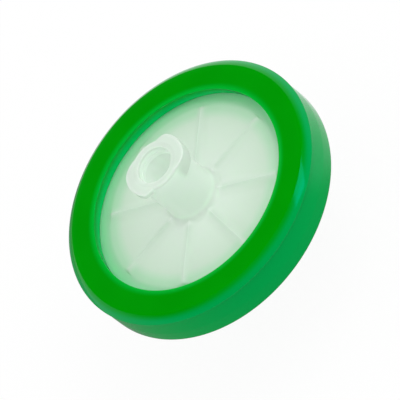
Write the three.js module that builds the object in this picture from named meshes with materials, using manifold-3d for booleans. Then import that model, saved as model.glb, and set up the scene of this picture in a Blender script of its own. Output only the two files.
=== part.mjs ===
// Syringe filter with a Luer-lock inlet, a Luer-slip outlet and an overmoulded sealing band.
// Millimetres. +Z runs along the filter's axis, out of the inlet. The origin is the centre of
// the inlet's mouth, where the syringe screws on, and the lugs lie along X.

import * as THREE from "three";
import { mergeVertices } from "three/addons/utils/BufferGeometryUtils.js";
import Module from "manifold-3d";

// ---- Driving sizes ----

const FACETS = 64; // round every turned form, so that pieces which fit share their facets
const ARC_FACET = 0.35; // length of the facets round an edge or in a fillet, at most
const BOND_GAP = 0.02; // between two pieces that are bonded or clamped face to face

// The stack along the axis, from the inlet's mouth down
const HUB_HEIGHT = 7.65; // mouth to the outer face of the inlet plate
const INLET_PLATE = 1.0;
const CHAMBER_DEPTH = 0.3; // free space over the membrane
const MEMBRANE_THICKNESS = 0.2;
const OUTLET_PLATE = 1.1;
const OUTLET_LENGTH = 12.25; // outer face of the outlet plate to the tip
const FLANGE_STEP = 0.2; // how far the outlet's clamping land stands over its flange

// The radii, from the outside in
const FILTER_DIAMETER = 33;
const BAND_WALL = 2.1; // of the band outside the plates' rims
const LIP_OVERLAP = 1.9; // of each band lip over the plates
const TONGUE_LENGTH = 2.84; // of the band between the plates' rims
const LAND_WIDTH = 1.06; // of the ring-shaped lands that clamp the membrane
const MEMBRANE_MARGIN = 0.15; // from the membrane's edge to the lands' outer edge

// The band's section
const FRONT_RECESS = 1.65; // from the band's front face down to the inlet plate
const BACK_RECESS = 0.85; // from the band's back face up to the outlet plate
const BEVEL_WIDTH = 0.95; // of the bevel round the front face
const BEVEL_DROP = 0.75;
const MOUTH_ROUND = 0.15; // edge of the window in the front face
const WINDOW_LEAN = 0.3; // how far the window's wall runs outwards on its way down to the plate
const WAIST_DEPTH = 0.32; // of the waist under the bevel's sharp edge
const WAIST_STEP = 0.3; // along the axis, from the sharp edge in to the waist
const BACK_FLANK = 1.9; // height of the back flange's straight side
const BACK_ROUND = 0.5;
const BACK_SETBACK = 0.1; // of the back flange inside the bevel's sharp edge

// The female Luer-lock hub
const BORE_RADIUS = 2.12; // of the tapered socket, just inside its lead-in
const LEAD_IN_DEPTH = 0.5;
const LEAD_IN_WIDTH = 0.08;
const LUER_TAPER = 0.03; // change of radius along the length, a six per cent taper
const SOCKET_FLOOR = 1.25; // left between the socket and the inlet plate's inner face
const PORT_RADIUS = 1.0; // through both plates
const HUB_WALL = 0.98;
const HUB_ROOT = 1.0; // fillet between hub and plate
const RIM_ROUND = 0.15;

// The two lugs, by angle from the X axis in degrees: a slow ramp, a crest and a steep end
const LUG_STANDOUT = 0.76; // of the crest over the hub's wall
const LUG_RAMP_START = -85;
const LUG_CREST_START = -30;
const LUG_CREST_END = 28;
const LUG_RAMP_END = 54;
const LUG_SUNK = 0.15; // how far both ends dip under the hub's wall
const LUG_DEPTH = 1.1; // mouth to the crest's lower edge, on the X axis
const LUG_FLANK = 0.6; // height of the slope under the crest
const LUG_EDGE = 0.12; // bevel between the crest and the mouth
const LUG_LEAD = 5.0; // climb of the underside in one turn
const LUG_STEPS = 24;

// The stiffening ribs on both plates
const RIB_COUNT = 8;
const RIB_FLANK = 1.5; // from a rib's crest to the foot of its hollow flank
const RIB_HEIGHT = 0.3;
const RIB_INSET = 0.16; // of the ribs' ends inside the lands' outer edge
const RIB_ROOT = 0.3; // sunk into the plate
const RIB_FACETS = 4; // along each flank

// The membrane's support on the outlet plate
const DRAIN_DEPTH = 0.4;
const DRAIN_PITCH = 2.3;
const DRAIN_RIDGE = 0.9; // width of the ring-shaped ridges
const CHANNEL_WIDTH = 0.8; // of the radial channels
const WELL_RADIUS = 1.6; // where the channels meet, over the port

// The male Luer-slip outlet
const TIP_RADIUS = 1.98;
const SLIP_LENGTH = 9.0;
const BOSS_RADIUS = 3.2;
const BOSS_ROOT = 0.8;
const BOSS_ROUND = 0.3;
const TIP_ROUND = 0.25;

// ---- Levels and radii that follow ----

const inletTop = -HUB_HEIGHT;
const inletUnder = inletTop - INLET_PLATE;
const membraneTop = inletUnder - CHAMBER_DEPTH;
const membraneUnder = membraneTop - MEMBRANE_THICKNESS;
const outletFlangeTop = membraneUnder - FLANGE_STEP;
const outletUnder = membraneUnder - OUTLET_PLATE;
const tipEnd = outletUnder - OUTLET_LENGTH;
const bandFront = inletTop + FRONT_RECESS;
const bandBack = outletUnder - BACK_RECESS;

const bandRadius = FILTER_DIAMETER / 2;
const flangeRadius = bandRadius - BAND_WALL;
const windowRadius = flangeRadius - LIP_OVERLAP;
const landOuter = flangeRadius - TONGUE_LENGTH;
const landInner = landOuter - LAND_WIDTH;
const hubRadius = BORE_RADIUS + HUB_WALL;

// ---- Working shapes ----

const wasm = await Module();
wasm.setup();

/** A closed geometry as a solid that can be joined and cut. */
function toSolid(geometry) {
  const bare = geometry.clone();
  bare.deleteAttribute("normal");
  bare.deleteAttribute("uv");
  const merged = mergeVertices(bare, 1e-4);
  return new wasm.Manifold(
    new wasm.Mesh({
      numProp: 3,
      vertProperties: new Float32Array(merged.attributes.position.array),
      triVerts: new Uint32Array(merged.index.array),
    }),
  );
}

/** A solid back as a geometry. */
function toGeometry(solid) {
  const mesh = solid.getMesh();
  const geometry = new THREE.BufferGeometry();
  geometry.setAttribute("position", new THREE.BufferAttribute(mesh.vertProperties, 3));
  geometry.setIndex(new THREE.BufferAttribute(mesh.triVerts, 1));
  geometry.computeVertexNormals();
  return geometry;
}

/** A profile in the plane of radius and height, drawn anticlockwise. */
class Profile {
  constructor(radius, height) {
    this.points = [new THREE.Vector2(radius, height)];
  }

  /** Straight lines through the given [radius, height] pairs. */
  to(...pairs) {
    for (const [radius, height] of pairs) this.points.push(new THREE.Vector2(radius, height));
    return this;
  }

  /** An arc about a centre, in degrees, with its first and last points. */
  arc(radius, height, size, from, upTo) {
    const length = size * THREE.MathUtils.degToRad(Math.abs(upTo - from));
    const steps = Math.max(2, Math.ceil(length / ARC_FACET));
    for (let i = 0; i <= steps; i++) {
      const angle = THREE.MathUtils.degToRad(from + ((upTo - from) * i) / steps);
      this.points.push(
        new THREE.Vector2(radius + size * Math.cos(angle), height + size * Math.sin(angle)),
      );
    }
    return this;
  }

  /** A smooth curve from the last point, pulled towards the middle pair, to the end pair. */
  sweep(middle, end) {
    const curve = new THREE.QuadraticBezierCurve(
      this.points.at(-1).clone(),
      new THREE.Vector2(...middle),
      new THREE.Vector2(...end),
    );
    const steps = Math.ceil(curve.getLength() / (2 * ARC_FACET));
    this.points.push(...curve.getPoints(steps).slice(1));
    return this;
  }

  /** The profile closed on itself and turned round the Z axis. */
  revolve() {
    const closed = [...this.points, this.points[0].clone()];
    return new THREE.LatheGeometry(closed, FACETS).rotateX(Math.PI / 2);
  }
}

/** A plain turned disc between two heights. */
function disc(radius, bottom, top) {
  return new Profile(0, bottom).to([radius, bottom], [radius, top], [0, top]).revolve();
}

/** A column as long as the filter, which trims what runs past its radius or its two ends. */
function column(radius) {
  return toSolid(disc(radius, tipEnd, 0));
}

/** The same geometry turned to each of several places round the Z axis. */
function around(geometry, count) {
  return Array.from({ length: count }, (_, i) =>
    toSolid(geometry.clone().rotateZ((i * 2 * Math.PI) / count)),
  );
}

/** Low ribs with hollow flanks, out along a plate's face, which looks up (1) or down (-1). */
function plateRibs(face, side) {
  const section = new THREE.Shape();
  section.moveTo(-RIB_FLANK, -RIB_ROOT);
  section.lineTo(RIB_FLANK, -RIB_ROOT);
  section.lineTo(RIB_FLANK, 0);
  section.quadraticCurveTo(RIB_FLANK / 2, 0, 0, RIB_HEIGHT);
  section.quadraticCurveTo(-RIB_FLANK / 2, 0, -RIB_FLANK, 0);
  const start = hubRadius - HUB_WALL / 2;
  const rib = new THREE.ExtrudeGeometry(section, {
    depth: landOuter + RIB_FLANK - start,
    bevelEnabled: false,
    curveSegments: RIB_FACETS,
  });
  rib.rotateX(Math.PI / 2).rotateZ(Math.PI / 2).translate(start, 0, 0);
  if (side < 0) rib.rotateX(Math.PI);
  rib.translate(0, 0, face);
  return wasm.Manifold.union(around(rib, RIB_COUNT)).intersect(column(landOuter - RIB_INSET));
}

// ---- The overmoulded band ----

/** One E-shaped ring: two lips over the plates, a waisted outside and a tongue between the rims. */
function sealBand() {
  const backRadius = bandRadius - BACK_SETBACK;
  const seat = flangeRadius + BOND_GAP;
  const tongue = landOuter + BOND_GAP;
  const sharpEdge = bandFront - BEVEL_DROP;
  return new Profile(windowRadius, bandBack)
    .arc(backRadius - BACK_ROUND, bandBack + BACK_ROUND, BACK_ROUND, -90, 0)
    .to([backRadius, bandBack + BACK_FLANK], [bandRadius - WAIST_DEPTH, sharpEdge - WAIST_STEP])
    .to([bandRadius, sharpEdge], [bandRadius - BEVEL_WIDTH, bandFront])
    .arc(windowRadius + MOUTH_ROUND, bandFront - MOUTH_ROUND, MOUTH_ROUND, 90, 180)
    .to([windowRadius + WINDOW_LEAN, inletTop + BOND_GAP], [seat, inletTop + BOND_GAP])
    .to([seat, inletUnder - BOND_GAP], [tongue, inletUnder - BOND_GAP])
    .to([tongue, outletFlangeTop + BOND_GAP], [seat, outletFlangeTop + BOND_GAP])
    .to([seat, outletUnder - BOND_GAP], [windowRadius, outletUnder - BOND_GAP])
    .revolve();
}

// ---- The inlet half ----

/** The turned form of the inlet half: plate, clamping land, hub and tapered socket. */
function inletTurning() {
  const floor = inletUnder + SOCKET_FLOOR;
  const socketEnd = BORE_RADIUS + LUER_TAPER * (floor + LEAD_IN_DEPTH);
  return new Profile(PORT_RADIUS, inletUnder)
    .to([landInner, inletUnder], [landInner, membraneTop], [landOuter, membraneTop])
    .to([landOuter, inletUnder], [flangeRadius, inletUnder], [flangeRadius, inletTop])
    .arc(hubRadius + HUB_ROOT, inletTop + HUB_ROOT, HUB_ROOT, -90, -180)
    .arc(hubRadius - RIM_ROUND, -RIM_ROUND, RIM_ROUND, 0, 90)
    .to([BORE_RADIUS + LEAD_IN_WIDTH, 0], [BORE_RADIUS, -LEAD_IN_DEPTH])
    .to([socketEnd, floor], [PORT_RADIUS, floor])
    .revolve();
}

/** A level arc about the Z axis, from one angle in degrees to another. */
class LevelArc extends THREE.Curve {
  constructor(radius, from, upTo) {
    super();
    this.radius = radius;
    this.from = from;
    this.upTo = upTo;
  }

  getPoint(t, target = new THREE.Vector3()) {
    const angle = THREE.MathUtils.degToRad(THREE.MathUtils.lerp(this.from, this.upTo, t));
    return target.set(this.radius * Math.cos(angle), this.radius * Math.sin(angle), 0);
  }
}

/** Two lugs flush with the mouth, whose undersides climb as a Luer-lock thread does. */
function lockLugs() {
  const rootRadius = hubRadius - HUB_WALL / 2;
  const rise = hubRadius + LUG_STANDOUT - rootRadius;
  const sunkShare = (hubRadius - LUG_SUNK - rootRadius) / rise;
  // Swept along a level arc, the section's x runs down the axis and its y runs inwards.
  const section = new THREE.Shape([
    new THREE.Vector2(0, 0),
    new THREE.Vector2(0, -rise + LUG_EDGE),
    new THREE.Vector2(LUG_EDGE, -rise),
    new THREE.Vector2(LUG_DEPTH, -rise),
    new THREE.Vector2(LUG_DEPTH + LUG_FLANK, 0),
  ]);
  const lug = new THREE.ExtrudeGeometry(section, {
    steps: LUG_STEPS,
    extrudePath: new LevelArc(rootRadius, LUG_RAMP_START, LUG_RAMP_END),
  });
  const { smoothstep, lerp, radToDeg } = THREE.MathUtils;
  const underside = -(LUG_EDGE + LUG_DEPTH) / 2;
  const place = lug.attributes.position;
  for (let i = 0; i < place.count; i++) {
    const angle = Math.atan2(place.getY(i), place.getX(i));
    const radius = Math.hypot(place.getX(i), place.getY(i));
    const up = smoothstep(radToDeg(angle), LUG_RAMP_START, LUG_CREST_START);
    const down = smoothstep(radToDeg(angle), LUG_CREST_END, LUG_RAMP_END);
    const reach = rootRadius + (radius - rootRadius) * lerp(sunkShare, 1, up - down);
    place.setX(i, reach * Math.cos(angle));
    place.setY(i, reach * Math.sin(angle));
    if (place.getZ(i) < underside) place.setZ(i, place.getZ(i) + (LUG_LEAD * angle) / (2 * Math.PI));
  }
  return wasm.Manifold.union(around(lug, 2));
}

function inletHousing() {
  return toGeometry(toSolid(inletTurning()).add(plateRibs(inletTop, 1)).add(lockLugs()));
}

// ---- The membrane ----

function membraneDisc() {
  return disc(landOuter - MEMBRANE_MARGIN, membraneUnder + BOND_GAP, membraneTop - BOND_GAP);
}

// ---- The outlet half ----

/** The turned form of the outlet half: plate with ring-shaped ridges, boss and tapered slip tip. */
function outletTurning() {
  const drainFloor = membraneUnder - DRAIN_DEPTH;
  const slipBase = tipEnd + SLIP_LENGTH;
  const baseRadius = TIP_RADIUS + LUER_TAPER * SLIP_LENGTH;
  const profile = new Profile(PORT_RADIUS, tipEnd)
    .arc(TIP_RADIUS - TIP_ROUND, tipEnd + TIP_ROUND, TIP_ROUND, -90, 0)
    .to([baseRadius, slipBase])
    .arc(BOSS_RADIUS - BOSS_ROUND, slipBase + BOSS_ROUND, BOSS_ROUND, -90, 0)
    .arc(BOSS_RADIUS + BOSS_ROOT, outletUnder - BOSS_ROOT, BOSS_ROOT, 180, 90)
    .to([flangeRadius, outletUnder], [flangeRadius, outletFlangeTop])
    .to([landOuter, outletFlangeTop], [landOuter, membraneUnder], [landInner, membraneUnder])
    .to([landInner, drainFloor]);
  let inner = landInner - DRAIN_PITCH;
  while (inner > WELL_RADIUS) {
    const outer = inner + DRAIN_RIDGE;
    profile.to([outer, drainFloor], [outer, membraneUnder], [inner, membraneUnder], [inner, drainFloor]);
    inner -= DRAIN_PITCH;
  }
  return profile.to([PORT_RADIUS, drainFloor]).revolve();
}

/** Straight cuts through the ridges, from the well over the port out to the clamping land. */
function radialChannels() {
  const reach = landInner - DRAIN_RIDGE / 2;
  const cut = new THREE.BoxGeometry(reach, CHANNEL_WIDTH, DRAIN_DEPTH * 2);
  cut.translate(reach / 2, 0, membraneUnder);
  return wasm.Manifold.union(around(cut, RIB_COUNT));
}

function outletHousing() {
  return toGeometry(
    toSolid(outletTurning()).subtract(radialChannels()).add(plateRibs(outletUnder, -1)),
  );
}

// ---- The assembly ----

const greenPolypropylene = new THREE.MeshStandardMaterial({
  color: 0x00961e,
  roughness: 0.22,
  metalness: 0,
});
const naturalPolypropylene = new THREE.MeshStandardMaterial({
  color: 0xd9e6dc,
  roughness: 0.4,
  metalness: 0,
});
const membraneFilm = new THREE.MeshStandardMaterial({
  color: 0xf4f4f0,
  roughness: 0.95,
  metalness: 0,
});

function named(name, geometry, material) {
  const mesh = new THREE.Mesh(geometry, material);
  mesh.name = name;
  return mesh;
}

const filter = new THREE.Group();
filter.add(
  named("seal_band", sealBand(), greenPolypropylene),
  named("inlet_housing", inletHousing(), naturalPolypropylene),
  named("membrane", membraneDisc(), membraneFilm),
  named("outlet_housing", outletHousing(), naturalPolypropylene),
);

export default filter;
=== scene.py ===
"""A disposable syringe filter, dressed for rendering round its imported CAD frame.

The frame gives the outer levels and radii. The classes below rebuild each moulding inside
them with finer edges, soft ribs and running-out lugs, and give each its own plastic.
Sizes are in millimetres and meshes are in metres. +Z is the filter's axis, inlet up.
"""

import logging
import math
from collections.abc import Callable
from dataclasses import dataclass, field
from enum import Enum

import bpy
import numpy as np
from mathutils import Matrix, Vector


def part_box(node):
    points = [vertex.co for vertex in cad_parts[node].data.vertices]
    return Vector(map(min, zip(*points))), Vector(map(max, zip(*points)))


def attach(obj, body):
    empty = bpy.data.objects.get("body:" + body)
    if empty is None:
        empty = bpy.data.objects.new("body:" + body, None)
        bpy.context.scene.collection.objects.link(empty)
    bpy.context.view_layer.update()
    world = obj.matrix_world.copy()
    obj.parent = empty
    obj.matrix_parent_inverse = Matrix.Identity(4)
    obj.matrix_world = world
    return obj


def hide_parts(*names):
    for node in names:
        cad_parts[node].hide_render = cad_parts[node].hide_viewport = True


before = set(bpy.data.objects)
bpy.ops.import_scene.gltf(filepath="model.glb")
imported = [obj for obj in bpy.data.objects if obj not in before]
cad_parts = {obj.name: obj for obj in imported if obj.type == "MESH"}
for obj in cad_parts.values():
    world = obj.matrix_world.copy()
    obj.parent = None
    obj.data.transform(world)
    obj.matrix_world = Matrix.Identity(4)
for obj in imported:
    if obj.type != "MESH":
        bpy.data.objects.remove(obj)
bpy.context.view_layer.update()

LOG = logging.getLogger("syringe_filter")
MM = 0.001
BODY = "root"
SHARP_ANGLE = math.radians(35)  # edges that turn more than this stay crisp
ARC_FACET = math.radians(11)  # turn of one facet on a fillet
FILLET_ROOM = 0.98  # share of a corner's shorter side that its fillet may take
HAIR = 0.001  # slack for comparing levels and radii

Relief = Callable[[np.ndarray, np.ndarray, np.ndarray], tuple[np.ndarray, np.ndarray]]


class Slot(Enum):
    """The record's material slots that the rebuilt pieces belong to."""

    GREEN = "green_polypropylene"
    NATURAL = "natural_polypropylene"


# ---- Outlines and turned meshes ----


@dataclass(frozen=True)
class Corner:
    """A corner of a turned outline, in millimetres.

    Args:
        radius: distance from the axis.
        height: level along the axis.
        fillet: radius that rounds the corner.
        step: longest facet on the straight run that follows the corner.
    """

    radius: float
    height: float
    fillet: float = 0.0
    step: float = 0.8

    def point(self) -> np.ndarray:
        """The corner as a point of radius and height."""
        return np.array([self.radius, self.height])


def fillet_arc(before: Corner, corner: Corner, after: Corner) -> np.ndarray:
    """Draws the arc that rounds one corner.

    Args:
        before: the corner before it on the outline.
        corner: the corner to round.
        after: the corner after it.

    Returns:
        The points of the arc in order, or the bare corner where it has no fillet.
    """
    tip = corner.point()
    if corner.fillet <= 0:
        return tip[None]
    back, ahead = before.point() - tip, after.point() - tip
    room = min(np.linalg.norm(back), np.linalg.norm(ahead)) * FILLET_ROOM
    back, ahead = back / np.linalg.norm(back), ahead / np.linalg.norm(ahead)
    opening = math.acos(float(np.clip(back @ ahead, -1, 1)))
    tangent = min(corner.fillet / math.tan(opening / 2), room)
    radius = tangent * math.tan(opening / 2)
    middle = back + ahead
    centre = tip + middle / np.linalg.norm(middle) * radius / math.sin(opening / 2)
    start, end = tip + back * tangent - centre, tip + ahead * tangent - centre
    sweep = math.pi - opening
    count = max(3, math.ceil(sweep / ARC_FACET))
    share = np.linspace(0, 1, count + 1)[:, None]
    return centre + (start * np.sin((1 - share) * sweep) + end * np.sin(share * sweep)) / math.sin(sweep)


def outline(corners: list[Corner]) -> np.ndarray:
    """Rounds a closed outline and cuts its straight runs into facets.

    Args:
        corners: the corners, anticlockwise in the plane of radius and height.

    Returns:
        Points of radius and height, one row each.
    """
    arcs = [
        fillet_arc(corners[i - 1], corner, corners[(i + 1) % len(corners)])
        for i, corner in enumerate(corners)
    ]
    rows: list[np.ndarray] = []
    for i, (corner, arc) in enumerate(zip(corners, arcs)):
        rows.append(arc)
        start, end = arc[-1], arcs[(i + 1) % len(arcs)][0]
        count = math.ceil(np.linalg.norm(end - start) / corner.step)
        if count > 1:
            share = np.linspace(0, 1, count + 1)[1:-1, None]
            rows.append(start + (end - start) * share)
    return np.concatenate(rows)


def even_angles(count: int) -> np.ndarray:
    """Angles spread evenly round the axis."""
    return np.arange(count) * 2 * math.pi / count


def ribbed_angles(ribs: int, half: int, crowding: float) -> np.ndarray:
    """Angles round the axis, closer together towards each rib's crest.

    Args:
        ribs: number of ribs, the first at angle 0.
        half: columns from a crest to the middle between two ribs.
        crowding: power that draws the columns towards the crest; 1 spreads them evenly.

    Returns:
        The angles in order.
    """
    pitch = 2 * math.pi / ribs
    rising = (np.arange(half + 1) / half) ** crowding * pitch / 2
    sector = np.concatenate([rising, pitch - rising[-2:0:-1]])
    return np.concatenate([sector + i * pitch for i in range(ribs)])


def turned_piece(
    name: str, rows: np.ndarray, angles: np.ndarray, relief: Relief | None = None
) -> bpy.types.Object:
    """Turns a closed outline round the axis into one watertight piece.

    Args:
        name: name of the piece.
        rows: the outline's points of radius and height, in millimetres.
        angles: the columns' angles.
        relief: moves the points, given their radius, height and angle.

    Returns:
        The piece, with smooth faces.
    """
    radius = np.repeat(rows[:, :1], len(angles), axis=1)
    height = np.repeat(rows[:, 1:], len(angles), axis=1)
    angle = np.repeat(angles[None], len(rows), axis=0)
    if relief:
        radius, height = relief(radius, height, angle)
    points = np.stack([radius * np.cos(angle), radius * np.sin(angle), height], axis=-1) * MM
    index = np.arange(radius.size).reshape(radius.shape)
    below, beside = np.roll(index, -1, axis=0), np.roll(index, -1, axis=1)
    across = np.roll(below, -1, axis=1)
    faces = np.stack([index, beside, across, below], axis=-1).reshape(-1, 4)
    mesh = bpy.data.meshes.new(name)
    mesh.from_pydata(points.reshape(-1, 3).tolist(), [], faces.tolist())
    mesh.polygons.foreach_set("use_smooth", np.ones(len(faces), dtype=bool))
    mesh.update()
    mesh.set_sharp_from_angle(angle=SHARP_ANGLE)
    piece = bpy.data.objects.new(name, mesh)
    bpy.context.scene.collection.objects.link(piece)
    return piece


def soft_max(a: np.ndarray, b: np.ndarray, blend: float) -> np.ndarray:
    """The larger of two fields, with a rounded valley between them."""
    return (a + b + np.sqrt((a - b) ** 2 + blend**2)) / 2


def smooth_step(value: np.ndarray, start: float, end: float) -> np.ndarray:
    """Rises smoothly from 0 at start to 1 at end."""
    share = np.clip((value - start) / (end - start), 0, 1)
    return share * share * (3 - 2 * share)


# ---- Finishes ----


def linear(hex_colour: str) -> tuple[float, float, float, float]:
    """Turns an sRGB hex colour into linear RGBA.

    Args:
        hex_colour: the colour, such as "#009100".

    Returns:
        Red, green, blue and alpha.
    """
    channels = [int(hex_colour[i : i + 2], 16) / 255 for i in (1, 3, 5)]
    straight = [c / 12.92 if c <= 0.04045 else ((c + 0.055) / 1.055) ** 2.4 for c in channels]
    return (straight[0], straight[1], straight[2], 1.0)


class NodeTree:
    """The node tree of a material or world, filled from empty."""

    def __init__(self, owner: bpy.types.Material | bpy.types.World) -> None:
        """Empties the owner's tree.

        Args:
            owner: the material or world.
        """
        owner.use_nodes = True
        self.tree = owner.node_tree
        self.tree.nodes.clear()

    def add(self, kind: str, settings: dict | None = None, **inputs: object) -> bpy.types.Node:
        """Adds a node with its settings and links.

        Args:
            kind: Blender's name for the node type.
            settings: properties of the node.
            inputs: values or output sockets by input name, with _ for a space, or by
                position as in_0.

        Returns:
            The node.
        """
        node = self.tree.nodes.new(kind)
        for key, value in (settings or {}).items():
            setattr(node, key, value)
        for key, value in inputs.items():
            socket = node.inputs[int(key[3:]) if key.startswith("in_") else key.replace("_", " ")]
            if isinstance(value, bpy.types.NodeSocket):
                self.tree.links.new(value, socket)
            else:
                socket.default_value = value
        return node

    def ramp(self, factor: bpy.types.NodeSocket, stops: list[tuple[float, str]]) -> bpy.types.NodeSocket:
        """Colours a factor through a ramp.

        Args:
            factor: the socket that drives the ramp.
            stops: positions with their sRGB hex colours.

        Returns:
            The ramp's colour socket.
        """
        node = self.add("ShaderNodeValToRGB", in_0=factor)
        elements = node.color_ramp.elements
        while len(elements) < len(stops):
            elements.new(1.0)
        for element, (position, colour) in zip(elements, stops):
            element.position = position
            element.color = linear(colour)
        return node.outputs["Color"]

    def mix(self, share: object, under: object, over: object) -> bpy.types.NodeSocket:
        """Mixes two colours.

        Args:
            share: share of the upper colour, as a number or a socket.
            under: the lower colour, as linear RGBA or a socket.
            over: the upper colour, in the same way.

        Returns:
            The mixed colour's socket.
        """
        node = self.add("ShaderNodeMix", {"data_type": "RGBA"}, in_0=share, in_6=under, in_7=over)
        return node.outputs[2]

    def radius_and_height(
        self, place: bpy.types.NodeSocket
    ) -> tuple[bpy.types.NodeSocket, bpy.types.NodeSocket]:
        """Splits a place into its distance from the filter's axis and its level.

        Args:
            place: the socket with the place.

        Returns:
            The sockets with the distance and the level, in metres.
        """
        flat = self.add("ShaderNodeVectorMath", {"operation": "MULTIPLY"}, in_0=place, in_1=(1, 1, 0))
        length = self.add("ShaderNodeVectorMath", {"operation": "LENGTH"}, in_0=flat.outputs[0])
        level = self.add("ShaderNodeSeparateXYZ", in_0=place)
        return length.outputs["Value"], level.outputs["Z"]

    def fade(
        self, value: bpy.types.NodeSocket, start: float, end: float, low: float = 0.0, high: float = 1.0
    ) -> bpy.types.NodeSocket:
        """Eases from low to high as a length goes from start to end.

        Args:
            value: the socket with the length.
            start: where the result is low, in millimetres.
            end: where the result is high, in millimetres.
            low: the result at start.
            high: the result at end.

        Returns:
            The socket with the result.
        """
        node = self.add(
            "ShaderNodeMapRange",
            {"interpolation_type": "SMOOTHSTEP"},
            Value=value,
            From_Min=start * MM,
            From_Max=end * MM,
            To_Min=low,
            To_Max=high,
        )
        return node.outputs["Result"]


@dataclass(frozen=True)
class GreenPolypropylene:
    """Pigmented polypropylene, injection moulded round the housing in a polished tool.

    The eye gets a deep leaf green with a clean gloss. The skin keeps a faint ripple where the melt shrank,
    and the pigment is a little uneven along the flow. Round the window the lip is painted paler and
    brighter downwards, painted light that stands in for the light of the milky plate. Below the front face
    the green is painted bluer, a painted reflection of the pale surroundings.

    Args:
        window_radius: radius of the window's wall.
        front: level of the band's face.
        plate: level of the plate in the window.
    """

    window_radius: float
    front: float
    plate: float
    body: str = "#008e00"
    lean: str = "#009200"
    flank: str = "#009a44"  # painted reflection: bluer green below the front face, standing in for the pale surroundings that the sides mirror
    painted_reflection_start: float = 0.02  # depth under the face where the painted reflection begins
    painted_reflection_full: float = 0.5  # where it is full
    # painted light: the lip round the window runs from this colour at the face to the next at the plate
    painted_light_lip: str = "#00aa2c"
    painted_light_foot: str = "#00e070"
    lip_width: float = 0.85  # how far the painted light reaches into the lip
    glint: str = "#00fff2"  # the saturated pigment tints what the skin mirrors
    ior: float = 1.35  # under the plastic's own 1.49, as the waxy skin mirrors weakly
    roughness: float = 0.12
    roughness_spread: float = 0.02
    flow_mm: float = 6.0
    ripple_mm: float = 2.2
    ripple_depth_mm: float = 0.004

    def make(self) -> bpy.types.Material:
        """Builds the material.

        Returns:
            The new material.
        """
        material = bpy.data.materials.new("green_polypropylene")
        nodes = NodeTree(material)
        place = nodes.add("ShaderNodeTexCoord").outputs["Object"]
        flow = nodes.add(
            "ShaderNodeTexNoise", Vector=place, Scale=1 / (self.flow_mm * MM), Detail=2.0, Roughness=0.5
        )
        face = nodes.ramp(flow.outputs["Fac"], [(0.3, self.body), (0.7, self.lean)])
        radius, height = nodes.radius_and_height(place)
        # painted reflection: the green turns bluer below the front face
        low = nodes.fade(height, self.front - self.painted_reflection_start, self.front - self.painted_reflection_full)
        body = nodes.mix(low, face, linear(self.flank))
        # painted light on the lip round the window, brighter down towards the plate
        lip = nodes.fade(radius, self.window_radius + self.lip_width, self.window_radius)
        depth = nodes.fade(height, self.front, self.plate)
        painted_lip_light = nodes.ramp(depth, [(0.1, self.painted_light_lip), (1.0, self.painted_light_foot)])
        colour = nodes.mix(lip, body, painted_lip_light)
        ripple = nodes.add(
            "ShaderNodeTexNoise", Vector=place, Scale=1 / (self.ripple_mm * MM), Detail=1.0
        )
        bump = nodes.add(
            "ShaderNodeBump", Strength=1.0, Distance=self.ripple_depth_mm * MM, Height=ripple.outputs["Fac"]
        )
        sheen = nodes.add(
            "ShaderNodeMapRange",
            Value=flow.outputs["Fac"],
            To_Min=self.roughness - self.roughness_spread,
            To_Max=self.roughness + self.roughness_spread,
        )
        surface = nodes.add(
            "ShaderNodeBsdfPrincipled",
            Base_Color=colour,
            Roughness=sheen.outputs["Result"],
            IOR=self.ior,
            Specular_Tint=linear(self.glint),
            Normal=bump.outputs["Normal"],
        )
        nodes.add("ShaderNodeOutputMaterial", Surface=surface.outputs["BSDF"])
        return material


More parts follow.
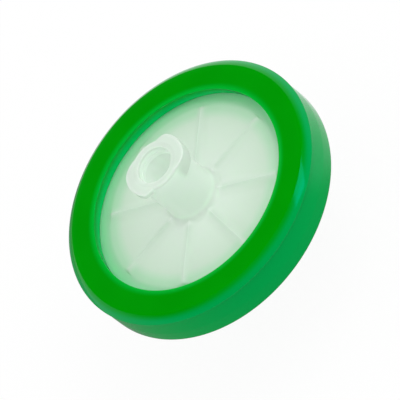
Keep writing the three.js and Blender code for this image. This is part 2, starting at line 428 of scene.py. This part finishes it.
@dataclass(frozen=True)
class NaturalPolypropylene:
    """Unpigmented polypropylene, moulded thin over the membrane.

    The eye gets a milky, faintly green-grey skin that light soaks into, so ribs and edges stay soft, and
    that shows a little of what lies behind it. Over the green tongue of the band its colour comes up
    through the milk, strong over the tongue and faint over the clamped rim. At the foot of the window's
    wall it is painted brighter, painted light in the corner's shade. The ribs' crests and the top of the
    hub round the mouth are painted darker, painted shade.
    Light that the eye doesn't follow mostly passes the milk, so the hollow hub fills with it. Blends are in
    millimetres from the edge that they are named for, start and end.
    Blends are in millimetres from the edge that they are named for, start and end.

    Args:
        tongue_radius: radius where the band's tongue ends.
        land_radius: inner radius of the clamped rim.
        hub_radius: radius of the hub's outer wall.
        plate_top: level of the plate's outer face.
    """

    tongue_radius: float
    land_radius: float
    hub_radius: float
    plate_top: float
    milk: str = "#e8faeb"
    collar: str = "#d2dfd4"  # painted shade: darker at the top of the hub round the mouth
    plate: str = "#d9e5db"
    plate_rim: str = "#ccddce"
    painted_shade_rib: str = "#c9dbcc"  # painted shade: darker on the ribs' crests
    over_land: str = "#b9dcc1"
    over_tongue: str = "#a6d8b4"
    # painted light: brighter mint at the foot of the window's wall, in the corner's shade
    painted_light_at_wall: str = "#9ae8b6"
    hub_blend: tuple[float, float] = (0.03, 0.2)
    land_blend: tuple[float, float] = (-0.87, 0.22)
    tongue_blend: tuple[float, float] = (-0.36, 0.03)
    wall_reach: float = 1.15  # from the tongue's end to the full painted light at the window's wall
    rib_rise: tuple[float, float] = (0.04, 0.28)  # heights over the plate
    rib_start: tuple[float, float] = (0.6, 1.2)  # beyond the hub's wall
    mouth_shade_levels: tuple[float, float] = (-0.5, -0.15)  # levels between which the painted shade at the mouth fades in
    density: float = 0.87  # share of the plate's skin that is not seen through
    hub_wall: float = 0.85  # the same on the hub's thin walls, which light fills from all round
    socket_wall: float = 0.6  # the same inside the socket
    thick_collar: float = 0.8  # the same on the collar
    collar_levels: tuple[float, float] = (-1.5, -1.2)  # between which the wall thickens
    socket_blend: tuple[float, float] = (-0.8, -0.2)  # through the hub's wall
    plate_blend: tuple[float, float] = (-0.1, 0.5)  # outwards from the hub's wall
    scattered: float = 0.75  # share of the light that the milk still passes, too scattered to see by
    ior: float = 1.49
    roughness: float = 0.32
    roughness_spread: float = 0.04
    soak_mm: float = 1.2
    soak: tuple[float, float, float] = (0.9, 1.0, 0.9)  # green light goes furthest
    grain_mm: float = 0.5
    grain_depth_mm: float = 0.004

    def make(self) -> bpy.types.Material:
        """Builds the material.

        Returns:
            The new material.
        """
        material = bpy.data.materials.new("natural_polypropylene")
        nodes = NodeTree(material)
        place = nodes.add("ShaderNodeTexCoord").outputs["Object"]
        radius, height = nodes.radius_and_height(place)
        # the ramp ends in painted light at the window's wall
        wall = self.tongue_radius + self.wall_reach
        share = nodes.add("ShaderNodeMapRange", Value=radius, From_Max=wall * MM)
        stops = [
            (self.hub_radius + self.hub_blend[0], self.milk),
            (self.hub_radius + self.hub_blend[1], self.plate),
            (self.land_radius + self.land_blend[0], self.plate_rim),
            (self.land_radius + self.land_blend[1], self.over_land),
            (self.tongue_radius + self.tongue_blend[0], self.over_land),
            (self.tongue_radius + self.tongue_blend[1], self.over_tongue),
            (wall, self.painted_light_at_wall),
        ]
        colour = nodes.ramp(share.outputs["Result"], [(stop / wall, tone) for stop, tone in stops])
        # painted shade: the ribs' crests darken with their height over the plate
        rise = nodes.fade(height, *(self.plate_top + part for part in self.rib_rise))
        beyond_hub = nodes.fade(radius, *(self.hub_radius + part for part in self.rib_start))
        crest = nodes.add("ShaderNodeMath", {"operation": "MULTIPLY"}, in_0=rise, in_1=beyond_hub)
        colour = nodes.mix(crest.outputs[0], colour, linear(self.painted_shade_rib))
        # painted shade: the top of the hub round the mouth is darker
        mouth = nodes.fade(height, *self.mouth_shade_levels)
        colour = nodes.mix(mouth, colour, linear(self.collar))
        inner = nodes.fade(
            radius, *(self.hub_radius + part for part in self.socket_blend), self.socket_wall, self.hub_wall
        )
        outer = nodes.fade(
            radius, *(self.hub_radius + part for part in self.plate_blend), self.socket_wall, self.density
        )
        ring = nodes.fade(height, *self.collar_levels, self.socket_wall, self.thick_collar)
        walls = nodes.add("ShaderNodeMath", {"operation": "MAXIMUM"}, in_0=inner, in_1=outer)
        cover = nodes.add("ShaderNodeMath", {"operation": "MAXIMUM"}, in_0=walls.outputs[0], in_1=ring)
        grain = nodes.add(
            "ShaderNodeTexNoise", Vector=place, Scale=1 / (self.grain_mm * MM), Detail=2.0
        )
        bump = nodes.add(
            "ShaderNodeBump", Strength=1.0, Distance=self.grain_depth_mm * MM, Height=grain.outputs["Fac"]
        )
        sheen = nodes.add(
            "ShaderNodeMapRange",
            Value=grain.outputs["Fac"],
            To_Min=self.roughness - self.roughness_spread,
            To_Max=self.roughness + self.roughness_spread,
        )
        surface = nodes.add(
            "ShaderNodeBsdfPrincipled",
            Base_Color=colour,
            Roughness=sheen.outputs["Result"],
            IOR=self.ior,
            Subsurface_Weight=1.0,
            Subsurface_Radius=self.soak,
            Subsurface_Scale=self.soak_mm * MM,
            Alpha=cover.outputs[0],
            Normal=bump.outputs["Normal"],
        )
        clear = nodes.add("ShaderNodeBsdfTransparent")
        passing = nodes.add(
            "ShaderNodeMixShader", in_0=self.scattered, in_1=surface.outputs["BSDF"], in_2=clear.outputs[0]
        )
        seen = nodes.add("ShaderNodeLightPath").outputs["Is Camera Ray"]
        skin = nodes.add(
            "ShaderNodeMixShader", in_0=seen, in_1=passing.outputs[0], in_2=surface.outputs["BSDF"]
        )
        nodes.add("ShaderNodeOutputMaterial", Surface=skin.outputs[0])
        return material


@dataclass(frozen=True)
class MembraneFilm:
    """Cast microporous film.

    The eye gets a dead matt paper white with a fine mottle. The pores are far too fine to
    show, so the mottle is drawn at a quarter of a millimetre.
    """

    film: str = "#f4f4ef"
    shade: str = "#e6e7e0"
    roughness: float = 0.95
    mottle_mm: float = 0.25
    mottle_depth_mm: float = 0.01
    mottle_strength: float = 0.6

    def make(self) -> bpy.types.Material:
        """Builds the material.

        Returns:
            The new material.
        """
        material = bpy.data.materials.new("membrane_film")
        nodes = NodeTree(material)
        place = nodes.add("ShaderNodeTexCoord").outputs["Object"]
        mottle = nodes.add(
            "ShaderNodeTexNoise", Vector=place, Scale=1 / (self.mottle_mm * MM), Detail=3.0
        )
        colour = nodes.ramp(mottle.outputs["Fac"], [(0.35, self.shade), (0.65, self.film)])
        bump = nodes.add(
            "ShaderNodeBump",
            Strength=self.mottle_strength,
            Distance=self.mottle_depth_mm * MM,
            Height=mottle.outputs["Fac"],
        )
        surface = nodes.add(
            "ShaderNodeBsdfPrincipled",
            Base_Color=colour,
            Roughness=self.roughness,
            Normal=bump.outputs["Normal"],
        )
        nodes.add("ShaderNodeOutputMaterial", Surface=surface.outputs["BSDF"])
        return material


def dress(piece: bpy.types.Object, material: bpy.types.Material) -> None:
    """Gives a piece one material."""
    piece.data.materials.clear()
    piece.data.materials.append(material)


def seat(piece: bpy.types.Object, node: str) -> None:
    """Puts a piece in the place of a CAD node.

    Args:
        piece: the finished piece.
        node: the CAD node that it stands for.
    """
    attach(piece, BODY)
    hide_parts(node)
    LOG.info("%s: %d faces", piece.name, len(piece.data.polygons))


# ---- Levels and radii that the pieces share ----


FRONT_RECESS = 1.65  # from the band's face down to the inlet plate
BACK_RECESS = 0.85  # from the band's back up to the outlet plate
INLET_PLATE = 1.0
FLANGE_STEP = 0.2  # of the outlet's flange below the membrane's seat
LIP_OVERLAP = 1.9  # of the band's lips over the plates
MEMBRANE_MARGIN = 0.15  # of the clamping lands beyond the membrane
LAND_WIDTH = 1.06
RIB_MARGIN = 0.16  # of the lands' outer edge beyond the ribs' ends


@dataclass(frozen=True)
class Stack:
    """Levels and radii in millimetres, read from the frame where it has them."""

    band_front: float
    band_back: float
    band_radius: float
    flange_radius: float
    mouth: float
    membrane_top: float
    membrane_under: float
    tip_end: float
    inlet_top: float
    inlet_under: float
    outlet_flange_top: float
    outlet_under: float
    window_radius: float
    land_outer: float
    land_inner: float
    gap: float = 0.02  # between pieces that are bonded face to face

    @classmethod
    def from_frame(cls) -> "Stack":
        """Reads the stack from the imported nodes.

        Returns:
            The stack.
        """
        band_low, band_high = (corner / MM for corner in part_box("seal_band"))
        _, inlet_high = (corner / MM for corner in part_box("inlet_housing"))
        outlet_low, _ = (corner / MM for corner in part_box("outlet_housing"))
        film_low, film_high = (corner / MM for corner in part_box("membrane"))
        membrane_top, membrane_under = film_high.z + cls.gap, film_low.z - cls.gap
        inlet_top = band_high.z - FRONT_RECESS
        land_outer = film_high.x + MEMBRANE_MARGIN
        return cls(
            band_front=band_high.z,
            band_back=band_low.z,
            band_radius=band_high.x,
            flange_radius=inlet_high.x,
            mouth=inlet_high.z,
            membrane_top=membrane_top,
            membrane_under=membrane_under,
            tip_end=outlet_low.z,
            inlet_top=inlet_top,
            inlet_under=inlet_top - INLET_PLATE,
            outlet_flange_top=membrane_under - FLANGE_STEP,
            outlet_under=band_low.z + BACK_RECESS,
            window_radius=inlet_high.x - LIP_OVERLAP,
            land_outer=land_outer,
            land_inner=land_outer - LAND_WIDTH,
        )


# ---- The band ----


@dataclass
class SealBand:
    """The overmoulded ring: two lips over the plates, a waisted outside, a hidden tongue."""

    stack: Stack
    chamfer_width: float = 0.95
    chamfer_drop: float = 0.75
    chamfer_swell: float = 0.03  # of the chamfer's middle outside a straight line
    chamfer_edge: float = 0.16  # fillet between the face and the chamfer
    crease: float = 0.05  # fillet of the front flange's lower edge
    mouth_slope: float = 0.6  # width of the sloping inner edge of the front lip
    mouth_drop: float = 0.04
    mouth_edge: float = 0.08
    window_lean: float = 0.3  # of the window's wall, outwards on its way down
    waist: float = 0.32  # depth of the waist under the front flange
    waist_root: float = 0.3
    waist_round: float = 0.25
    flank: float = 1.9  # height of the back flange's straight side
    flank_bend: float = 2.0  # fillet between the straight side and the waist
    back_round: float = 0.5
    back_setback: float = 0.1
    back_edge: float = 0.12
    swell_round: float = 3.0
    face_round: float = 5.0  # fillet between the face and the sloping inner edge
    columns: int = 288

    def corners(self) -> list[Corner]:
        """Sets out the band's section.

        Returns:
            The corners, anticlockwise.
        """
        s = self.stack
        seat_radius = s.flange_radius + s.gap
        tongue = s.land_outer + s.gap
        back_radius = s.band_radius - self.back_setback
        edge_radius = s.band_radius - self.chamfer_width
        crease_level = s.band_front - self.chamfer_drop
        swell = self.chamfer_swell * math.sqrt(2)
        return [
            Corner(s.window_radius, s.band_back, self.back_edge),
            Corner(back_radius, s.band_back, self.back_round),
            Corner(back_radius, s.band_back + self.flank, self.flank_bend),
            Corner(s.band_radius - self.waist, crease_level - self.waist_root, self.waist_round),
            Corner(s.band_radius, crease_level, self.crease),
            Corner(
                s.band_radius - self.chamfer_width / 2 + swell,
                s.band_front - self.chamfer_drop / 2 + swell,
                self.swell_round,
            ),
            Corner(edge_radius, s.band_front, self.chamfer_edge),
            Corner(s.window_radius + self.mouth_slope, s.band_front, self.face_round),
            Corner(s.window_radius, s.band_front - self.mouth_drop, self.mouth_edge),
            Corner(s.window_radius + self.window_lean, s.inlet_top + s.gap),
            Corner(seat_radius, s.inlet_top + s.gap),
            Corner(seat_radius, s.inlet_under - s.gap),
            Corner(tongue, s.inlet_under - s.gap),
            Corner(tongue, s.outlet_flange_top + s.gap),
            Corner(seat_radius, s.outlet_flange_top + s.gap),
            Corner(seat_radius, s.outlet_under - s.gap),
            Corner(s.window_radius, s.outlet_under - s.gap),
        ]

    def build(self, material: bpy.types.Material) -> None:
        """Turns the band and seats it.

        Args:
            material: the piece's plastic.
        """
        piece = turned_piece("band", outline(self.corners()), even_angles(self.columns))
        dress(piece, material)
        seat(piece, "seal_band")


# ---- The two housings ----


@dataclass(frozen=True)
class Ribs:
    """Low ribs that run out along a plate, each a fine crest between two hollow flanks."""

    reach: float
    count: int = 8
    flank: float = 1.5  # reach of each flank from the crest
    height: float = 0.3
    end_round: float = 0.5
    blend: float = 0.03
    fine_inside: float = 0.6  # how far the plate is finely faceted inside the ribs' ends
    fine_outside: float = 0.3  # and beyond them
    crowding: float = 1.4  # of the facets' columns towards each crest

    def rise(self, radius: np.ndarray, angle: np.ndarray) -> np.ndarray:
        """Finds how high the ribs stand over their plate.

        Args:
            radius: distance of each point from the axis.
            angle: angle of each point.

        Returns:
            The height at each point.
        """
        pitch = 2 * math.pi / self.count
        off = (angle + pitch / 2) % pitch - pitch / 2
        across = np.clip(np.abs(radius * np.sin(off)) / self.flank, 0, 1)
        along = radius * np.cos(off)
        ending = np.sqrt(1 - np.clip((along - self.reach + self.end_round) / self.end_round, 0, 1) ** 2)
        return self.height * (1 - across) ** 2 * ending


@dataclass(frozen=True)
class Lugs:
    """Two lugs flush with the mouth: a slow ramp, a full crest and a steep end.

    Their undersides climb with the lock thread.
    """

    crest_radius: float = 3.86
    sunk_radius: float = 2.95
    ramp_start: float = math.radians(-85)
    crest_start: float = math.radians(-30)
    crest_end: float = math.radians(28)
    ramp_end: float = math.radians(54)
    flank: float = 0.6
    depth: float = 1.1
    lead: float = 5.0
    edge: float = 0.12
    blend: float = 0.04

    def reach(self, height: np.ndarray, angle: np.ndarray) -> np.ndarray:
        """Finds how far the lugs reach from the axis.

        Args:
            height: level of each point.
            angle: angle of each point.

        Returns:
            The lugs' radius at each point.
        """
        off = (angle + math.pi / 2) % math.pi - math.pi / 2
        share = smooth_step(off, self.ramp_start, self.crest_start)
        share = share - smooth_step(off, self.crest_end, self.ramp_end)
        top = self.sunk_radius + (self.crest_radius - self.sunk_radius) * share
        underside = -self.depth + self.lead * off / (2 * math.pi)
        down = np.clip((underside - height) / self.flank, 0, 1)
        lug = top - (top - self.sunk_radius) * down
        near_mouth = np.clip(height / self.edge + 1, 0, 1)
        return lug - self.edge * (1 - np.sqrt(1 - near_mouth**2))


@dataclass
class InletHousing:
    """The inlet half: ribbed plate, clamping land and female lock hub."""

    stack: Stack
    ribs: Ribs
    lugs: Lugs
    bore_radius: float = 2.12
    lead_in_depth: float = 0.85
    lead_in_width: float = 0.1
    ledge: float = 0.07  # where the lead-in meets the taper
    ledge_drop: float = 0.02
    taper: float = 0.03
    socket_depth: float = 7.4
    port_radius: float = 1.0
    hub_radius: float = 3.1
    lug_zone: float = 2.6  # depth below the mouth that the lugs can reach
    rim_round: float = 0.15
    hub_root: float = 1.0
    edge: float = 0.05
    columns: int = 20  # from a rib's crest to the middle between two

    def corners(self) -> list[Corner]:
        """Sets out the section of the inlet half, without ribs and lugs.

        Returns:
            The corners, anticlockwise.
        """
        s = self.stack
        socket_end = self.bore_radius - self.taper * (self.socket_depth - self.lead_in_depth)
        return [
            Corner(self.port_radius, s.inlet_under, self.edge),
            Corner(s.land_inner, s.inlet_under),
            Corner(s.land_inner, s.membrane_top, self.edge),
            Corner(s.land_outer, s.membrane_top, self.edge),
            Corner(s.land_outer, s.inlet_under),
            Corner(s.flange_radius, s.inlet_under),
            Corner(s.flange_radius, s.inlet_top, step=0.4),
            Corner(self.ribs.reach + self.ribs.fine_outside, s.inlet_top, step=0.06),
            Corner(self.ribs.reach - self.ribs.fine_inside, s.inlet_top, step=0.3),
            Corner(self.hub_radius, s.inlet_top, self.hub_root, step=0.3),
            Corner(self.hub_radius, -self.lug_zone, step=0.06),
            Corner(self.hub_radius, s.mouth, self.rim_round),
            Corner(self.bore_radius + self.lead_in_width, s.mouth, self.edge, step=0.2),
            Corner(self.bore_radius + self.ledge, -self.lead_in_depth + self.ledge_drop),
            Corner(self.bore_radius, -self.lead_in_depth, self.ledge_drop),
            Corner(socket_end, -self.socket_depth, self.edge),
            Corner(self.port_radius, -self.socket_depth, self.edge),
        ]

    def relief(
        self, radius: np.ndarray, height: np.ndarray, angle: np.ndarray
    ) -> tuple[np.ndarray, np.ndarray]:
        """Raises the ribs from the plate and the lugs from the hub.

        Args:
            radius: distance of each point from the axis.
            height: level of each point.
            angle: angle of each point.

        Returns:
            The new radius and height of each point.
        """
        level = self.stack.inlet_top
        plate = (radius < self.ribs.reach + self.ribs.fine_outside) & (radius > self.hub_radius - HAIR)
        plate &= (height > level - HAIR) & (height < level + self.ribs.height)
        raised = soft_max(height, level + self.ribs.rise(radius, angle), self.ribs.blend)
        new_height = np.where(plate, np.maximum(height, raised - self.ribs.blend / 2), height)
        wall = (radius > self.hub_radius - self.rim_round - HAIR) & (height > -self.lug_zone + HAIR)
        lug = self.lugs.reach(height, angle)
        new_radius = np.where(wall, soft_max(radius, lug, self.lugs.blend), radius)
        return new_radius, new_height

    def build(self, material: bpy.types.Material) -> None:
        """Turns the inlet half and seats it.

        Args:
            material: the piece's plastic.
        """
        angles = ribbed_angles(self.ribs.count, self.columns, self.ribs.crowding)
        piece = turned_piece("inlet_half", outline(self.corners()), angles, self.relief)
        dress(piece, material)
        seat(piece, "inlet_housing")


@dataclass
class OutletHousing:
    """The outlet half: ribbed plate, membrane support, boss and male slip tip."""

    stack: Stack
    ribs: Ribs
    port_radius: float = 1.0
    drain_depth: float = 0.4
    drain_pitch: float = 2.3
    drain_ridge: float = 0.9
    channel_width: float = 0.8
    channel_slope: float = 0.1  # of the channels' walls, to each side
    channel_margin: float = 0.05  # between the channels' ends and the clamping land
    well_radius: float = 1.6
    tip_radius: float = 1.98
    slip_length: float = 9.0
    slip_root: float = 0.15
    taper: float = 0.03
    boss_radius: float = 3.2
    boss_root: float = 0.8
    boss_round: float = 0.3
    tip_round: float = 0.25
    edge: float = 0.06
    columns: int = 18  # from a rib's crest to the middle between two

    def corners(self) -> list[Corner]:
        """Sets out the section of the outlet half, without ribs and channels.

        Returns:
            The corners, anticlockwise.
        """
        s = self.stack
        drain_floor = s.membrane_under - self.drain_depth
        slip_base = s.tip_end + self.slip_length
        section = [
            Corner(self.port_radius, s.tip_end, self.edge),
            Corner(self.tip_radius, s.tip_end, self.tip_round),
            Corner(self.tip_radius + self.taper * self.slip_length, slip_base, self.slip_root),
            Corner(self.boss_radius, slip_base, self.boss_round),
            Corner(self.boss_radius, s.outlet_under, self.boss_root, step=0.3),
            Corner(self.ribs.reach - self.ribs.fine_inside, s.outlet_under, step=0.06),
            Corner(self.ribs.reach + self.ribs.fine_outside, s.outlet_under, step=0.4),
            Corner(s.flange_radius, s.outlet_under),
            Corner(s.flange_radius, s.outlet_flange_top),
            Corner(s.land_outer, s.outlet_flange_top),
            Corner(s.land_outer, s.membrane_under, self.edge),
            Corner(s.land_inner, s.membrane_under, self.edge),
            Corner(s.land_inner, drain_floor, self.edge),
        ]
        inner = s.land_inner - self.drain_pitch
        while inner > self.well_radius:
            outer = inner + self.drain_ridge
            section += [
                Corner(outer, drain_floor, self.edge),
                Corner(outer, s.membrane_under, self.edge),
                Corner(inner, s.membrane_under, self.edge),
                Corner(inner, drain_floor, self.edge),
            ]
            inner -= self.drain_pitch
        return section + [Corner(self.port_radius, drain_floor, self.edge)]

    def relief(
        self, radius: np.ndarray, height: np.ndarray, angle: np.ndarray
    ) -> tuple[np.ndarray, np.ndarray]:
        """Raises the ribs under the plate and cuts the radial channels through the ridges.

        Args:
            radius: distance of each point from the axis.
            height: level of each point.
            angle: angle of each point.

        Returns:
            The radius, unchanged, and the new height of each point.
        """
        s = self.stack
        level = s.outlet_under
        rib_low = level - self.ribs.rise(radius, angle)
        lowered = -soft_max(-height, -rib_low, self.ribs.blend) + self.ribs.blend / 2
        plate = (radius < self.ribs.reach + self.ribs.fine_outside) & (radius > self.boss_radius - HAIR)
        plate &= (height < level + HAIR) & (height > level - self.ribs.height)
        new_height = np.where(plate, np.minimum(height, lowered), height)
        pitch = 2 * math.pi / self.ribs.count
        off = np.abs(radius * np.sin((angle + pitch / 2) % pitch - pitch / 2))
        drain_floor = s.membrane_under - self.drain_depth
        ridges = (radius < s.land_inner - self.channel_margin) & (height > drain_floor)
        half = self.channel_width / 2
        cut = 1 - smooth_step(off, half - self.channel_slope, half + self.channel_slope)
        return radius, np.where(ridges, new_height + (drain_floor - new_height) * cut, new_height)

    def build(self, material: bpy.types.Material) -> None:
        """Turns the outlet half and seats it.

        Args:
            material: the piece's plastic.
        """
        angles = ribbed_angles(self.ribs.count, self.columns, self.ribs.crowding)
        piece = turned_piece("outlet_half", outline(self.corners()), angles, self.relief)
        dress(piece, material)
        seat(piece, "outlet_housing")


# ---- The studio ----


@dataclass
class Studio:
    """White sweep, soft surround, two panel lamps and the camera.

    The camera sees both surrounds white. Glossy skins see the world's ceiling darker, and the
    floor grey on the camera's side, running to white on the right.
    """

    stack: Stack
    aim: Vector = field(default_factory=lambda: Vector((0.02, -1.5, -7.52)))
    turn: float = math.radians(3.5)  # of the camera and the lamps round the filter
    elevation: float = math.radians(44.5)
    roll: float = math.radians(-52.3)
    distance: float = 500.0
    view_width: float = 44.66  # across the picture, at the aim
    sensor: float = 36.0
    lamp_distance: float = 300.0
    daylight: float = 0.9  # strength of the world's soft light
    floor_side: float = 4000.0
    floor_seen: float = 0.93  # share of white over the floor's own shading, for the camera
    floor_slope: tuple[float, float, float] = (1.0, 0.5, 0.0)  # the way that its grey runs to white
    floor_blend: tuple[float, float] = (12.0, 24.0)  # between which it does

    def camera(self) -> None:
        """Makes the camera."""
        data = bpy.data.cameras.new("camera")
        data.sensor_width = self.sensor
        data.lens = self.sensor * self.distance / self.view_width
        data.clip_start, data.clip_end = 0.01, 10.0
        camera = bpy.data.objects.new("camera", data)
        back = Vector((0, -math.cos(self.elevation), math.sin(self.elevation)))
        turn = back.to_track_quat("Z", "Y").to_matrix().to_4x4()
        place = Matrix.Translation((self.aim + back * self.distance) * MM)
        round_filter = Matrix.Rotation(self.turn, 4, "Z")
        camera.matrix_world = round_filter @ place @ turn @ Matrix.Rotation(self.roll, 4, "Z")
        bpy.context.scene.collection.objects.link(camera)
        bpy.context.scene.camera = camera

    def lamp(
        self,
        name: str,
        direction: tuple[float, float, float],
        size: tuple[float, float],
        watts: float,
        roll: float = 0.0,
        mirrored: bool = False,
    ) -> None:
        """Hangs one soft lamp that faces the filter.

        Args:
            name: the lamp's name.
            direction: from the filter towards the lamp.
            size: width and height of its panel, in millimetres.
            watts: its power.
            roll: turn of the panel about its own axis, in degrees.
            mirrored: whether glossy skins show it.
        """
        data = bpy.data.lights.new(name, "AREA")
        data.shape = "RECTANGLE"
        data.size, data.size_y = size[0] * MM, size[1] * MM
        data.energy = watts
        lamp = bpy.data.objects.new(name, data)
        towards = Matrix.Rotation(self.turn, 3, "Z") @ Vector(direction).normalized()
        lamp.location = (Vector((0, 0, self.stack.band_front)) + towards * self.lamp_distance) * MM
        panel = towards.to_track_quat("Z", "Y").to_matrix()
        lamp.rotation_euler = (panel @ Matrix.Rotation(math.radians(roll), 3, "Z")).to_euler()
        lamp.visible_camera = False
        lamp.visible_glossy = mirrored
        bpy.context.scene.collection.objects.link(lamp)

    def by_ray(
        self, nodes: NodeTree, lit: bpy.types.NodeSocket, seen: float, mirrored: bpy.types.NodeSocket
    ) -> bpy.types.NodeSocket:
        """Shows white to camera and transmission rays and a shade of its own to glossy ones.

        Args:
            nodes: the tree to add to.
            lit: the shader for all other rays, which carry the light.
            seen: share of white that camera and transmission rays get over it.
            mirrored: the shader that glossy skins mirror.

        Returns:
            The mixed shader.
        """
        rays = nodes.add("ShaderNodeLightPath").outputs
        through = rays["Is Transmission Ray"]
        direct = nodes.add(
            "ShaderNodeMath", {"operation": "MAXIMUM"}, in_0=rays["Is Camera Ray"], in_1=through
        )
        share = nodes.add("ShaderNodeMath", {"operation": "MULTIPLY"}, in_0=direct.outputs[0], in_1=seen)
        glossy = nodes.add(
            "ShaderNodeMath",
            {"operation": "SUBTRACT", "use_clamp": True},
            in_0=rays["Is Glossy Ray"],
            in_1=through,
        )
        white = nodes.add("ShaderNodeEmission", Color=linear("#ffffff"), Strength=1.0)
        plain = nodes.add("ShaderNodeMixShader", in_0=share.outputs[0], in_1=lit, in_2=white.outputs[0])
        mixed = nodes.add(
            "ShaderNodeMixShader", in_0=glossy.outputs[0], in_1=plain.outputs[0], in_2=mirrored
        )
        return mixed.outputs[0]

    def world(self) -> None:
        """Surrounds the scene with soft white, under a darker ceiling that glossy skins mirror."""
        world = bpy.data.worlds.new("surround")
        bpy.context.scene.world = world
        nodes = NodeTree(world)
        direction = nodes.add("ShaderNodeTexCoord").outputs["Generated"]
        rise = nodes.add("ShaderNodeSeparateXYZ", in_0=direction).outputs["Z"]
        walls_and_ceiling = [(26, "#ffffff"), (42, "#000000"), (58, "#181818"), (80, "#b0b0b0")]
        stops = [(math.sin(math.radians(degrees)), grey) for degrees, grey in walls_and_ceiling]
        ceiling = nodes.ramp(rise, stops)
        soft = nodes.add("ShaderNodeBackground", Color=linear("#ffffff"), Strength=self.daylight)
        mirrored = nodes.add("ShaderNodeBackground", Color=ceiling, Strength=1.0)
        surface = self.by_ray(nodes, soft.outputs[0], 1.0, mirrored.outputs[0])
        nodes.add("ShaderNodeOutputWorld", Surface=surface)

    def floor(self) -> None:
        """Lays the white sweep under the tip."""
        side = self.floor_side * MM
        mesh = bpy.data.meshes.new("floor")
        level = self.stack.tip_end * MM
        corners = [(-side, -side, level), (side, -side, level), (side, side, level), (-side, side, level)]
        mesh.from_pydata(corners, [], [(0, 1, 2, 3)])
        floor = bpy.data.objects.new("floor", mesh)
        bpy.context.scene.collection.objects.link(floor)
        material = bpy.data.materials.new("white_sweep")
        nodes = NodeTree(material)
        paper = nodes.add("ShaderNodeBsdfDiffuse", Color=linear("#f4f4f4"))
        place = nodes.add("ShaderNodeTexCoord").outputs["Object"]
        along = nodes.add(
            "ShaderNodeVectorMath", {"operation": "DOT_PRODUCT"}, in_0=place, in_1=self.floor_slope
        )
        to_white = nodes.fade(along.outputs["Value"], *self.floor_blend)
        grey = nodes.mix(to_white, linear("#8c8c8c"), linear("#ffffff"))
        mirrored = nodes.add("ShaderNodeEmission", Color=grey, Strength=1.0)
        surface = self.by_ray(nodes, paper.outputs[0], self.floor_seen, mirrored.outputs[0])
        nodes.add("ShaderNodeOutputMaterial", Surface=surface)
        dress(floor, material)

    def build(self) -> None:
        """Sets the whole studio."""
        self.camera()
        self.world()
        self.floor()
        self.lamp("fill_lamp", (-0.75, -0.2, 0.63), (200, 200), 0.02)
        self.lamp("strip_lamp", (0.55, -0.165, 0.82), (78, 215), 0.27, roll=-58, mirrored=True)
        bpy.context.scene.view_settings.view_transform = "Standard"
        LOG.info("studio: camera at %.0f mm", self.distance)


def main() -> None:
    """Builds every piece, then the studio."""
    logging.basicConfig(level=logging.INFO)
    stack = Stack.from_frame()
    natural = NaturalPolypropylene(
        stack.land_outer, stack.land_inner, InletHousing.hub_radius, stack.inlet_top
    ).make()
    ribs = Ribs(reach=stack.land_outer - RIB_MARGIN)
    green = GreenPolypropylene(stack.window_radius, stack.band_front, stack.inlet_top).make()
    SealBand(stack).build(green)
    InletHousing(stack, ribs, Lugs()).build(natural)
    OutletHousing(stack, ribs).build(natural)
    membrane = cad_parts["membrane"]  # a plain disc, shown as the frame has it
    dress(membrane, MembraneFilm().make())
    LOG.info("membrane: %d faces", len(membrane.data.polygons))
    Studio(stack).build()


if __name__ == "__main__":
    main()
